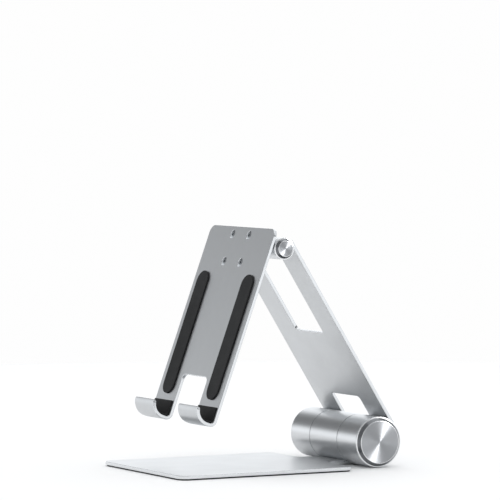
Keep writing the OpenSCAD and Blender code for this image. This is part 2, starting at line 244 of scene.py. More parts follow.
@dataclass(frozen=True)
class Finish:
    """A real material with the way its surface was made.

    Attributes:
        name: The material's common name and its making.
        colour: Its sRGB hex colour.
        grain: How its surface was made.
        grain_mm: Spacing of its marks.
        relief_mm: Height of its marks.
        rough: Its roughness between marks.
        rough_swing: How much its roughness changes over the surface.
        shade_swing: How much its colour darkens over the surface.
        metallic: One for bare metal.
        anisotropy: How far a brushed surface spreads light across its marks.
        centre: A point on the axis that its marks run round, in metres.
        ior: Its index of refraction, where it isn't metal.
        patch_mm: Size of the slow change over the surface.
    """

    name: str
    colour: str
    grain: Grain
    grain_mm: float
    relief_mm: float
    rough: float
    rough_swing: float = 0.05
    shade_swing: float = 0.06
    metallic: float = 1.0
    anisotropy: float = 0.0
    centre: tuple[float, float, float] = (0.0, 0.0, 0.0)
    ior: float = 1.5
    patch_mm: float = 22.0

    def marks(self, tree: bpy.types.NodeTree, place: bpy.types.NodeSocket) -> bpy.types.NodeSocket:
        """Draws the surface's marks.

        Args:
            tree: The material's tree.
            place: Coordinates from the piece's axis, in metres.

        Returns:
            A height from zero to one.
        """
        fine = 1 / (self.grain_mm * MM)
        if self.grain not in (Grain.SPUN, Grain.TURNED):
            return add_node(
                tree, "ShaderNodeTexNoise",
                {"Vector": place, "Scale": fine, "Detail": 3.0, "Roughness": 0.6},
            ).outputs["Fac"]
        keep = (0.0, 1.0, 1.0) if self.grain is Grain.SPUN else (1.0, 0.0, 0.0)
        along = add_node(
            tree, "ShaderNodeVectorMath", {0: place, 1: keep}, operation="MULTIPLY"
        )
        reach = add_node(
            tree, "ShaderNodeVectorMath", {0: along.outputs[0]}, operation="LENGTH"
        )
        return add_node(
            tree, "ShaderNodeTexNoise",
            {"W": reach.outputs["Value"], "Scale": fine, "Detail": 3.0, "Roughness": 0.6},
            noise_dimensions="1D",
        ).outputs["Fac"]

    def spread_direction(
        self, tree: bpy.types.NodeTree, place: bpy.types.NodeSocket
    ) -> bpy.types.NodeSocket:
        """Gives the direction across the marks, in which the surface spreads light.

        Args:
            tree: The material's tree.
            place: Coordinates from the piece's axis, in metres.

        Returns:
            A direction in the world: outwards on a spun face, and along X on a turned one.
        """
        keep = (0.0, 1.0, 1.0) if self.grain is Grain.SPUN else (0.0, 0.0, 0.0)
        push = (0.0, 0.0, 0.0) if self.grain is Grain.SPUN else (1.0, 0.0, 0.0)
        across = add_node(
            tree, "ShaderNodeVectorMath", {0: place, 1: keep, 2: push}, operation="MULTIPLY_ADD"
        )
        unit = add_node(
            tree, "ShaderNodeVectorMath", {0: across.outputs[0]}, operation="NORMALIZE"
        )
        world = add_node(
            tree, "ShaderNodeVectorTransform", {"Vector": unit.outputs[0]},
            vector_type="VECTOR", convert_from="OBJECT", convert_to="WORLD",
        )
        return world.outputs["Vector"]

    def material(self) -> bpy.types.Material:
        """Makes the material, or finds it if it is made.

        Returns:
            The material.
        """
        made = bpy.data.materials.get(self.name)
        if made is not None:
            return made
        made = bpy.data.materials.new(self.name)
        made.use_nodes = True
        tree = made.node_tree
        tree.nodes.clear()
        colour = linear(self.colour)
        made.diffuse_color = colour
        coords = add_node(tree, "ShaderNodeTexCoord")
        centred = add_node(
            tree, "ShaderNodeMapping",
            {"Vector": coords.outputs["Object"], "Location": self.centre}, vector_type="TEXTURE",
        )
        place = centred.outputs["Vector"]
        marks = self.marks(tree, place)
        patches = add_node(
            tree, "ShaderNodeTexNoise",
            {"Vector": place, "Scale": 1 / (self.patch_mm * MM), "Detail": 4.0, "Roughness": 0.65},
        ).outputs["Fac"]
        mixed = add_node(
            tree, "ShaderNodeMath", {0: marks, 1: MARK_SHARE, 2: patches}, operation="MULTIPLY_ADD"
        ).outputs[0]
        roughness = add_node(
            tree, "ShaderNodeMapRange",
            {
                "Value": mixed, "From Min": MIX_LOW, "From Max": MIX_HIGH,
                "To Min": self.rough - self.rough_swing, "To Max": self.rough + self.rough_swing,
            },
        )
        shade = add_node(
            tree, "ShaderNodeMapRange",
            {
                "Value": mixed, "From Min": MIX_LOW, "From Max": MIX_HIGH,
                "To Min": 1.0, "To Max": 1.0 - 2 * self.shade_swing,
            },
        )
        tint = add_node(
            tree, "ShaderNodeMix",
            {0: 1.0, 6: colour, 7: shade.outputs["Result"]},
            data_type="RGBA", blend_type="MULTIPLY",
        )
        bump = add_node(
            tree, "ShaderNodeBump",
            {"Height": marks, "Strength": 1.0, "Distance": self.relief_mm * MM},
        )
        shader = add_node(
            tree, "ShaderNodeBsdfPrincipled",
            {
                "Base Color": tint.outputs[2], "Metallic": self.metallic,
                "Roughness": roughness.outputs["Result"], "Normal": bump.outputs["Normal"],
                "IOR": self.ior,
            },
        )
        if self.anisotropy:
            shader.inputs["Anisotropic"].default_value = self.anisotropy
            tree.links.new(self.spread_direction(tree, place), shader.inputs["Tangent"])
        output = add_node(tree, "ShaderNodeOutputMaterial")
        tree.links.new(shader.outputs["BSDF"], output.inputs["Surface"])
        return made


# Bead-blasted and clear anodised sheet: a soft, even sheen with a very fine grain. The real
# grain is about 0.05 mm, and is drawn coarser so that it shows.
SHEET = Finish(
    "anodised aluminium, bead blasted", "CBCDCF", Grain.BLASTED, 0.4, 0.006, 0.36,
    rough_swing=0.03, shade_swing=0.03,
)
# Edges cut bright with a diamond tool after anodising, a little dulled by handling.
CUT_EDGE = Finish(
    "aluminium, diamond cut edge", "E0E2E4", Grain.BLASTED, 0.6, 0.0012, 0.2, rough_swing=0.07,
    shade_swing=0.02, patch_mm=6.0,
)
# Turned on a lathe and brushed round: long fine lines round the axis that draw the light out
# into bands along the barrel. Real lines are about 0.1 mm apart, and are drawn coarser so that
# they show.
LOWER_TURNED = Finish(
    "aluminium, turned lower barrel", "D6D8DA", Grain.TURNED, 0.45, 0.004, 0.29, anisotropy=0.6,
    centre=tuple(PLACES.lower_axis), rough_swing=0.015, shade_swing=0.02, patch_mm=40.0,
)
UPPER_TURNED = replace(
    LOWER_TURNED, name="aluminium, turned upper barrel", centre=tuple(PLACES.upper_axis)
)
# Faced with fine rings, so that light fans out from the middle in wedges. Real rings are about
# 0.08 mm apart, and are drawn coarser so that they show.
LOWER_SPUN = Finish(
    "aluminium, spun lower cap face", "AEB0B3", Grain.SPUN, 0.4, 0.003, 0.34, anisotropy=1.0,
    centre=tuple(PLACES.lower_axis), rough_swing=0.03, shade_swing=0.06,
)
UPPER_SPUN = replace(
    LOWER_SPUN, name="aluminium, spun upper cap face", centre=tuple(PLACES.upper_axis)
)
# The rims of the caps are cut to a mirror, so they catch the room as a thin bright ring.
RIM = Finish(
    "aluminium, mirror cut rim", "F2F3F4", Grain.POLISHED, 0.5, 0.0006, 0.17, rough_swing=0.03,
    shade_swing=0.02,
)
# The cone inside the rim is polished too. It leans towards darker parts of the room, and its colour
# is also painted darker than the aluminium it is cut from: painted shade, so that it reads as a
# dark ring.
PAINTED_SHADE_CONE = Finish(
    "aluminium, polished cone", "76787B", Grain.POLISHED, 0.4, 0.001, 0.2, rough_swing=0.04,
)
# Moulded silicone: matt, almost black, with a fine pebble that takes the shine off.
RUBBER = Finish(
    "silicone rubber, moulded", "121315", Grain.MOULDED, 0.5, 0.02, 0.66, metallic=0.0, ior=1.41,
    rough_swing=0.1, shade_swing=0.12,
)
# Moulded acetal: smooth, black and a little waxy.
ACETAL = Finish(
    "acetal, moulded", "1B1C1E", Grain.MOULDED, 0.6, 0.004, 0.45, metallic=0.0, ior=1.48,
)
# Zinc plated steel: slightly blue and a little cloudy.
ZINC = Finish("steel, zinc plated", "B4B8BC", Grain.POLISHED, 0.3, 0.003, 0.26, patch_mm=3.0)
# Ground steel bar: bright, with very fine lines round it.
GROUND_STEEL = Finish("steel, ground bar", "A9ACB0", Grain.TURNED, 0.12, 0.002, 0.2)
# Blackened spring steel: dark grey with a dull oily shine.
SPRING_STEEL = Finish("spring steel, oil blackened", "5A5B5E", Grain.POLISHED, 0.3, 0.003, 0.34)
# Sintered bronze: dull gold with a tight open grain.
BRONZE = Finish("bronze, sintered and oiled", "A67C45", Grain.MOULDED, 0.25, 0.01, 0.42)

# ---- Making meshes ----


def prism(corners: Sequence[tuple[float, float, float]], height: float) -> bmesh.types.BMesh:
    """Makes a flat plate with round corners.

    Args:
        corners: Each corner's X and Y, and the radius that rounds it.
        height: The plate's thickness, up from Z = 0.

    Returns:
        A new mesh.
    """
    mesh = bmesh.new()
    base = mesh.faces.new([mesh.verts.new((x, y, 0)) for x, y, _ in corners])
    grown = bmesh.ops.extrude_face_region(mesh, geom=[base])
    top = [item for item in grown["geom"] if isinstance(item, bmesh.types.BMVert)]
    bmesh.ops.translate(mesh, verts=top, vec=(0, 0, height))
    bmesh.ops.recalc_face_normals(mesh, faces=mesh.faces)
    for radius in sorted({r for _, _, r in corners if r > 0}):
        wanted = [(x, y) for x, y, r in corners if r == radius]
        edges = [edge for edge in mesh.edges if stands_at(edge, wanted)]
        bmesh.ops.bevel(
            mesh, geom=edges, offset=radius, offset_type="OFFSET", affect="EDGES",
            segments=CORNER_STEPS, profile=0.5, material=-1,
        )
    return mesh


def sheet(right: Sequence[tuple[float, float, float]], height: float) -> bmesh.types.BMesh:
    """Makes a flat sheet that is the same on both sides, with bright cut edges.

    Args:
        right: The corners of its right half, anticlockwise, as prism takes them.
        height: Its thickness, up from Z = 0.

    Returns:
        A new mesh.
    """
    left = [(-x, y, r) for x, y, r in reversed(right)]
    mesh = prism([*right, *left], height)
    for face in mesh.faces:
        if abs(face.normal.z) < FLAT_ENOUGH:
            face.material_index = EDGE
    return mesh


def stands_at(edge: bmesh.types.BMEdge, places: Sequence[tuple[float, float]]) -> bool:
    """Tells whether an upright edge stands at one of these corners.

    Args:
        edge: The edge.
        places: X and Y of each corner.

    Returns:
        True if it does.
    """
    one, two = (vert.co for vert in edge.verts)
    if (one.xy - two.xy).length > MERGE_MM:
        return False
    return any((one.xy - Vector(place)).length < MERGE_MM for place in places)


def upright(mesh: bmesh.types.BMesh, back: float) -> bmesh.types.BMesh:
    """Stands a plate up: its Y becomes Z, and its top face ends up in front.

    Args:
        mesh: The plate.
        back: Y of its rear face once it stands.

    Returns:
        The same mesh.
    """
    turn = Matrix.Translation((0, back, 0)) @ Matrix.Rotation(math.radians(90), 4, "X")
    bmesh.ops.transform(mesh, matrix=turn, verts=mesh.verts)
    return mesh


def turned(profile: Sequence[tuple[float, float]], steps: int = TURN_STEPS) -> bmesh.types.BMesh:
    """Turns a closed profile about X.

    Args:
        profile: Points of distance along X and radius, in order round the profile.
        steps: Faces round the axis.

    Returns:
        A new closed mesh.
    """
    mesh = bmesh.new()
    points = [mesh.verts.new((x, 0, r)) for x, r in profile]
    pairs = list(zip(points, points[1:] + points[:1]))
    edges = [mesh.edges.new(pair) for pair in pairs if pair[0].co.z or pair[1].co.z]
    bmesh.ops.spin(
        mesh, geom=points + edges, cent=(0, 0, 0), axis=(1, 0, 0), angle=math.tau, steps=steps,
        use_merge=True, use_duplicate=False,
    )
    bmesh.ops.remove_doubles(mesh, verts=mesh.verts, dist=MERGE_MM)
    bmesh.ops.recalc_face_normals(mesh, faces=mesh.faces)
    return mesh


def slice_off(
    mesh: bmesh.types.BMesh,
    point: Sequence[float],
    away: Sequence[float],
    within: Callable[[Vector], bool] = lambda place: True,
) -> None:
    """Cuts off what lies beyond a plane and closes the cut.

    Args:
        mesh: The mesh to cut.
        point: A point on the plane.
        away: The plane's normal, towards what goes.
        within: Tells which points the cut may reach.
    """
    verts = [vert for vert in mesh.verts if within(vert.co)]
    kept = set(verts)
    edges = [edge for edge in mesh.edges if kept.issuperset(edge.verts)]
    faces = [face for face in mesh.faces if kept.issuperset(face.verts)]
    everything = [*verts, *edges, *faces]
    cut = bmesh.ops.bisect_plane(
        mesh, geom=everything, dist=MERGE_MM, plane_co=point, plane_no=away, clear_outer=True
    )
    rim = [item for item in cut["geom_cut"] if isinstance(item, bmesh.types.BMEdge)]
    bmesh.ops.contextual_create(mesh, geom=rim)
    bmesh.ops.recalc_face_normals(mesh, faces=mesh.faces)


def break_edges(
    mesh: bmesh.types.BMesh, width: float, segments: int = 2, paint: int = EDGE
) -> bmesh.types.BMesh:
    """Rounds every sharp edge a little.

    Args:
        mesh: The mesh.
        width: Width of the round on each face.
        segments: Steps across it.
        paint: The material number that the new faces get.

    Returns:
        The same mesh.
    """
    sharp = [
        edge for edge in mesh.edges
        if len(edge.link_faces) == 2 and edge.calc_face_angle() > SHARP_ANGLE
    ]
    made = bmesh.ops.bevel(
        mesh, geom=sharp, offset=width, offset_type="OFFSET", affect="EDGES", segments=segments,
        profile=0.5, material=-1, clamp_overlap=False,
    )
    for face in made["faces"]:
        face.material_index = paint
    return mesh


def mirrored_to(mesh: bmesh.types.BMesh, side: Side) -> bmesh.types.BMesh:
    """Takes a mesh made for the right to one side.

    Args:
        mesh: The mesh.
        side: Where it goes.

    Returns:
        The same mesh.
    """
    bmesh.ops.scale(mesh, vec=(side.value, 1, 1), verts=mesh.verts)
    bmesh.ops.recalc_face_normals(mesh, faces=mesh.faces)
    return mesh


def joined(meshes: Iterable[bmesh.types.BMesh]) -> bmesh.types.BMesh:
    """Puts several meshes into one.

    Args:
        meshes: The meshes, which are used up.

    Returns:
        A new mesh.
    """
    whole = bmesh.new()
    for mesh in meshes:
        shared = bpy.data.meshes.new("shared")
        mesh.to_mesh(shared)
        mesh.free()
        whole.from_mesh(shared)
        bpy.data.meshes.remove(shared)
    return whole


def carve(mesh: bmesh.types.BMesh, cutter: bmesh.types.BMesh) -> bmesh.types.BMesh:
    """Takes one closed mesh out of another.

    Args:
        mesh: The mesh to cut, which is used up.
        cutter: What is taken out, which is used up.

    Returns:
        A new mesh.
    """
    pair = []
    for name, part in (("blank", mesh), ("cutter", cutter)):
        data = bpy.data.meshes.new(name)
        part.to_mesh(data)
        part.free()
        thing = bpy.data.objects.new(name, data)
        bpy.context.scene.collection.objects.link(thing)
        pair.append(thing)
    blank, tool = pair
    cut = blank.modifiers.new("cut", "BOOLEAN")
    cut.operation = "DIFFERENCE"
    cut.solver = "EXACT"
    cut.object = tool
    seen = blank.evaluated_get(bpy.context.evaluated_depsgraph_get())
    result = bpy.data.meshes.new_from_object(seen)
    made = bmesh.new()
    made.from_mesh(result)
    for thing in pair:
        data = thing.data
        bpy.data.objects.remove(thing)
        bpy.data.meshes.remove(data)
    bpy.data.meshes.remove(result)
    return made


def finished(
    name: str,
    mesh: bmesh.types.BMesh,
    place: Matrix,
    body: str,
    nodes: Sequence[str],
    finishes: Sequence[Finish],
) -> bpy.types.Object:
    """Turns a mesh into a piece of the stand.

    Args:
        name: The piece's name.
        mesh: Its mesh in local millimetres, which is used up.
        place: Where it stands.
        body: The body that it moves with.
        nodes: The frame nodes that it stands for.
        finishes: Its finishes, by material number.

    Returns:
        The piece.
    """
    bmesh.ops.transform(mesh, matrix=place, verts=mesh.verts)
    data = bpy.data.meshes.new(name)
    mesh.to_mesh(data)
    mesh.free()
    for finish in finishes:
        data.materials.append(finish.material())
    data.shade_smooth()
    data.set_sharp_from_angle(angle=SMOOTH_ANGLE)
    piece = bpy.data.objects.new(name, data)
    bpy.context.scene.collection.objects.link(piece)
    shading = piece.modifiers.new("even shading", "WEIGHTED_NORMAL")
    shading.keep_sharp = True
    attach(piece, body)
    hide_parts(*nodes)
    LOG.info("%s: %d faces on %s", name, len(data.polygons), body)
    return piece


# ---- Fasteners ----


@dataclass(frozen=True)
class CountersunkScrew:
    """A countersunk screw with a hexagon socket, whose head faces +X at the origin."""

    thread_d: float
    length: float
    head_ratio: float = 1.85
    head_depth_ratio: float = 0.5
    socket_ratio: float = 0.62
    socket_depth_ratio: float = 0.42
    sunk: float = 0.12
    slack: float = 0.06
    steps: int = 48

    @property
    def head_r(self) -> float:
        """Gives the radius of the countersink at the surface."""
        return self.thread_d * self.head_ratio / 2

    def body(self) -> bmesh.types.BMesh:
        """Makes the screw.

        Returns:
            A new mesh.
        """
        shank_r = self.thread_d / 2 - self.slack
        rim_r = self.head_r - self.slack - self.sunk
        neck = -self.thread_d * self.head_depth_ratio
        screw = turned([
            (-self.sunk, 0), (-self.sunk, rim_r), (neck, shank_r),
            (-self.length + self.sunk, shank_r), (-self.length + self.sunk, 0),
        ], steps=self.steps)
        break_edges(screw, self.slack, paint=FACE)
        socket = bmesh.new()
        depth = self.thread_d * self.socket_depth_ratio
        socket_r = self.thread_d * self.socket_ratio / 2
        bmesh.ops.create_cone(
            socket, cap_ends=True, segments=HEXAGON, radius1=socket_r, radius2=socket_r,
            depth=2 * depth,
        )
        bmesh.ops.rotate(
            socket, verts=socket.verts, cent=(0, 0, 0),
            matrix=Matrix.Rotation(math.radians(90), 3, "Y"),
        )
        return carve(screw, socket)

    def hole(self, through: float) -> bmesh.types.BMesh:
        """Makes the shape that a sheet is countersunk with.

        Args:
            through: How deep the hole runs.

        Returns:
            A new mesh, which stands a little out of the surface.
        """
        neck = -self.thread_d * self.head_depth_ratio
        shape = turned([
            (OVERCUT_MM, 0), (OVERCUT_MM, self.head_r + self.slack), (-self.slack, self.head_r),
            (neck, self.thread_d / 2), (-through, self.thread_d / 2), (-through, 0),
        ], steps=self.steps)
        for face in shape.faces:
            face.material_index = EDGE
        return shape


@dataclass(frozen=True)
class ScrewSet:
    """Screws of one kind, with the places and the direction that their heads face."""

    screw: CountersunkScrew
    spots: tuple[tuple[float, float, float], ...]
    facing: Matrix

    def copies(self, make: Callable[[], bmesh.types.BMesh]) -> bmesh.types.BMesh:
        """Makes one shape at every spot.

        Args:
            make: A function that makes the shape at the origin.

        Returns:
            A new mesh.
        """
        shapes = []
        for spot in self.spots:
            shape = make()
            place = Matrix.Translation(spot) @ self.facing
            bmesh.ops.transform(shape, matrix=place, verts=shape.verts)
            shapes.append(shape)
        return joined(shapes)

    def build(self, node: str, place: Matrix, body: str) -> None:
        """Makes all the screws.

        Args:
            node: The frame node that they stand for.
            place: The frame that the spots are given in.
            body: The body that they move with.
        """
        finished(
            f"socket_{node}", self.copies(self.screw.body), place, body, [node],
            (ZINC, ZINC),
        )

    def holes(self, through: float) -> bmesh.types.BMesh:
        """Makes all the holes, to the given depth."""
        return self.copies(lambda: self.screw.hole(through))


# ---- Barrels ----


@dataclass(frozen=True)
class Barrel:
    """A hinge barrel: a middle knuckle between two outer knuckles and two end caps.

    Attributes:
        level: The word that the frame's node names start with.
        radius: Its outer radius.
        seat: How far behind the axis the arm's front face lies.
        shaft_d, bush_d, pocket_d: Its bores.
        bush_len: Length of the solid end that holds each bush.
        cone_run: Run of the cap's cone, on the radius.
        turned_finish, spun_finish: Its finishes.
        rim_w, rim_t: Width and thickness of the cap's rim.
        spigot_h, spigot_wall: Length and wall of the tube that holds the cap in.
        edge, rim_edge: Widths of the rounds on its edges.
    """

    level: str
    radius: float
    seat: float
    shaft_d: float
    bush_d: float
    pocket_d: float
    bush_len: float
    cone_run: float
    turned_finish: Finish
    spun_finish: Finish
    rim_w: float = 0.55
    rim_t: float = 0.7
    spigot_h: float = 3.0
    spigot_wall: float = 1.2
    edge: float = 0.16
    rim_edge: float = 0.18

    @property
    def finishes(self) -> tuple[Finish, ...]:
        """Gives the finishes of the turned pieces, by material number."""
        return self.turned_finish, CUT_EDGE

    def outer_knuckle(self, side: Side, place: Matrix) -> None:
        """Makes one outer knuckle, with its flat for the arm.

        Args:
            side: Which side it is on.
            place: The barrel's place on the arm.
        """
        node = f"{self.level}_outer_knuckle_{side.word}"
        low, high = box_mm(f"{self.level}_outer_knuckle_right")
        near, far = low.x, high.x
        mesh = turned([
            (near, self.bush_d / 2), (near + self.bush_len, self.bush_d / 2),
            (near + self.bush_len, self.pocket_d / 2), (far, self.pocket_d / 2),
            (far, self.radius), (near, self.radius),
        ])
        slice_off(mesh, (0, self.seat, 0), (0, 1, 0))
        break_edges(mirrored_to(mesh, side), self.edge)
        finished(
            f"turned_{self.level}_knuckle_{side.word}", mesh, place, "arm",
            [node], self.finishes,
        )

    def end_cap(self, side: Side, place: Matrix) -> None:
        """Makes one end cap: a spigot, a mirror rim, a cone whose dark colour is painted shade, and
        a spun face.

        Args:
            side: Which side it is on.
            place: The barrel's place on the arm.
        """
        node = f"{self.level}_end_cap_{side.word}"
        inner = box_mm(f"{self.level}_end_cap_right")[0].x + self.spigot_h
        face = box_mm(f"{self.level}_end_cap_right")[1].x
        rim, cone_r = inner + self.rim_t, self.radius - self.rim_w
        disc_r = cone_r - self.cone_run
        spigot_r = self.pocket_d / 2
        mesh = turned([
            (inner, 0), (inner, spigot_r - self.spigot_wall),
            (inner - self.spigot_h, spigot_r - self.spigot_wall), (inner - self.spigot_h, spigot_r),
            (inner, spigot_r), (inner, self.radius), (rim, self.radius), (rim, cone_r),
            (face, disc_r), (face, 0),
        ])
        for item in mesh.faces:
            middle = item.calc_center_median()
            reach = middle.yz.length
            if middle.x > face - self.edge:
                item.material_index = DISC
            # Painted shade: the cone's faces get a darker colour than the rest of the cap.
            elif middle.x > rim + self.edge:
                item.material_index = PAINTED_SHADE_RING
        break_edges(mirrored_to(mesh, side), self.rim_edge, segments=3)
        finished(
            f"spun_{self.level}_cap_{side.word}", mesh, place, "arm", [node],
            (self.turned_finish, RIM, self.spun_finish, PAINTED_SHADE_CONE),
        )

    def middle_blank(self) -> bmesh.types.BMesh:
        """Makes the middle knuckle's round part.

        Returns:
            A new mesh.
        """
        half = box_mm(f"{self.level}_seam_washer_right")[0].x
        return turned([
            (-half, self.shaft_d / 2), (half, self.shaft_d / 2), (half, self.radius),
            (-half, self.radius),
        ])

    def arm_side(self, place: Matrix) -> None:
        """Makes the knuckles and caps that move with the arm.

        Args:
            place: The barrel's place on the arm.
        """
        for side in Side:
            self.outer_knuckle(side, place)
            self.end_cap(side, place)


LOWER_BARREL = Barrel(
    "lower", radius=15.0, seat=13.3, shaft_d=8.0, bush_d=12.0, pocket_d=22.0, bush_len=12.0,
    cone_run=1.85, turned_finish=LOWER_TURNED, spun_finish=LOWER_SPUN,
)
UPPER_BARREL = Barrel(
    "upper", radius=6.5, seat=5.5, shaft_d=5.0, bush_d=7.0, pocket_d=9.4, bush_len=12.0,
    cone_run=1.35, turned_finish=UPPER_TURNED, spun_finish=UPPER_SPUN,
)

# ---- Base ----


@dataclass(frozen=True)
class Base:
    """The flat base with its mat, its screws and the lower barrel's middle knuckle."""

    corner_r: float = 6.0
    tongue_fillet: float = 4.0
    mat_inset: float = 1.0
    screw: CountersunkScrew = CountersunkScrew(4.0, 8.0)
    screw_pitch: float = 22.0
    edge: float = 0.3
    mat_edge: float = 0.15

    @property
    def screw_set(self) -> ScrewSet:
        """Gives the screws from below through the tongue."""
        axis, under = PLACES.lower_axis.y / MM, box_mm("base_plate")[0].z
        spots = tuple((side.value * self.screw_pitch / 2, axis, under) for side in Side)
        return ScrewSet(self.screw, spots, Matrix.Rotation(math.pi / 2, 4, "Y"))

    def plate(self) -> None:
        """Makes the base plate, with the tongue that the barrel sits on."""
        low, high = box_mm("base_plate")
        half, back = high.x, -low.y
        root = box_mm("lower_seam_washer_right")[0].x
        right = [
            (root, high.y, 0), (root, back, self.tongue_fillet), (half, back, self.corner_r),
            (half, low.y, self.corner_r),
        ]
        mesh = break_edges(sheet(right, high.z - low.z), self.edge)
        bmesh.ops.translate(mesh, verts=mesh.verts, vec=(0, 0, low.z))
        mesh = carve(mesh, self.screw_set.holes(high.z))
        finished(
            "blasted_base_plate", mesh, PLACES.row, "base", ["base_plate"],
            (SHEET, CUT_EDGE),
        )

    def mat(self) -> None:
        """Makes the rubber mat under the plate."""
        low, high = box_mm("base_mat")
        radius = self.corner_r - self.mat_inset
        corners = [(x, y, radius) for x, y in (
            (low.x, low.y), (high.x, low.y), (high.x, high.y), (low.x, high.y)
        )]
        mesh = break_edges(prism(corners, high.z - low.z), self.mat_edge)
        finished(
            "moulded_base_mat", mesh, PLACES.row, "base", ["base_mat"],
            (RUBBER, RUBBER),
        )

    def middle_knuckle(self) -> None:
        """Makes the middle of the lower barrel, cut flat where the tongue is let in."""
        mesh = LOWER_BARREL.middle_blank()
        flat = box_mm("lower_middle_knuckle")[0].z - PLACES.lower_axis.z / MM
        slice_off(mesh, (0, 0, flat), (0, 0, -1))
        break_edges(mesh, LOWER_BARREL.edge)
        finished(
            "turned_middle_knuckle", mesh, PLACES.lower, "base",
            ["lower_middle_knuckle"], LOWER_BARREL.finishes,
        )

    def build(self) -> None:
        """Makes every piece of the base."""
        self.plate()
        self.mat()
        self.middle_knuckle()
        self.screw_set.build("base_screws", PLACES.row, "base")


# ---- Arm ----


@dataclass(frozen=True)
class Arm:
    """The arm sheet with a window at each end, its screws, and the barrels that it carries."""

    leg_over_low: float = 1.5
    leg_over_high: float = 1.5
    low_window_top: float = 21.6
    high_window_bottom: float = 67.0
    window_r: float = 2.5
    thickness: float = 2.0
    screw: CountersunkScrew = CountersunkScrew(3.0, 8.0)
    screw_rise: float = 3.0
    screw_pitch: float = 5.8
    edge: float = 0.3

    @property
    def screw_set(self) -> ScrewSet:
        """Gives the screws from behind into the lower outer knuckles."""
        near = box_mm("lower_outer_knuckle_right")[0].x
        middle = near + LOWER_BARREL.bush_len / 2
        back = LOWER_BARREL.seat + self.thickness
        spots = tuple(
            (side.value * (middle + step * self.screw_pitch / 2), back, self.screw_rise)
            for side in Side for step in (-1, 1)
        )
        return ScrewSet(self.screw, spots, Matrix.Rotation(math.pi / 2, 4, "Z"))

    def plate(self) -> None:
        """Makes the arm sheet."""
        out = box_mm("arm_plate")[1].x
        inner = box_mm("lower_outer_knuckle_right")[0].x
        top = (PLACES.arm.inverted() @ PLACES.upper_axis).z + self.leg_over_high
        right = [
            (inner, self.low_window_top, self.window_r), (inner, -self.leg_over_low, 0),
            (out, -self.leg_over_low, 0), (out, top, 0), (inner, top, 0),
            (inner, self.high_window_bottom, self.window_r),
        ]
        mesh = break_edges(sheet(right, self.thickness), self.edge)
        mesh = upright(mesh, LOWER_BARREL.seat + self.thickness)
        mesh = carve(mesh, self.screw_set.holes(self.thickness + OVERCUT_MM))
        finished(
            "blasted_arm_plate", mesh, PLACES.arm, "arm", ["arm_plate"],
            (SHEET, CUT_EDGE),
        )

    def build(self) -> None:
        """Makes every piece of the arm."""
        self.plate()
        self.screw_set.build("arm_screws", PLACES.arm, "arm")
        LOWER_BARREL.arm_side(PLACES.arm)
        UPPER_BARREL.arm_side(PLACES.arm_top)


# ---- Holder ----


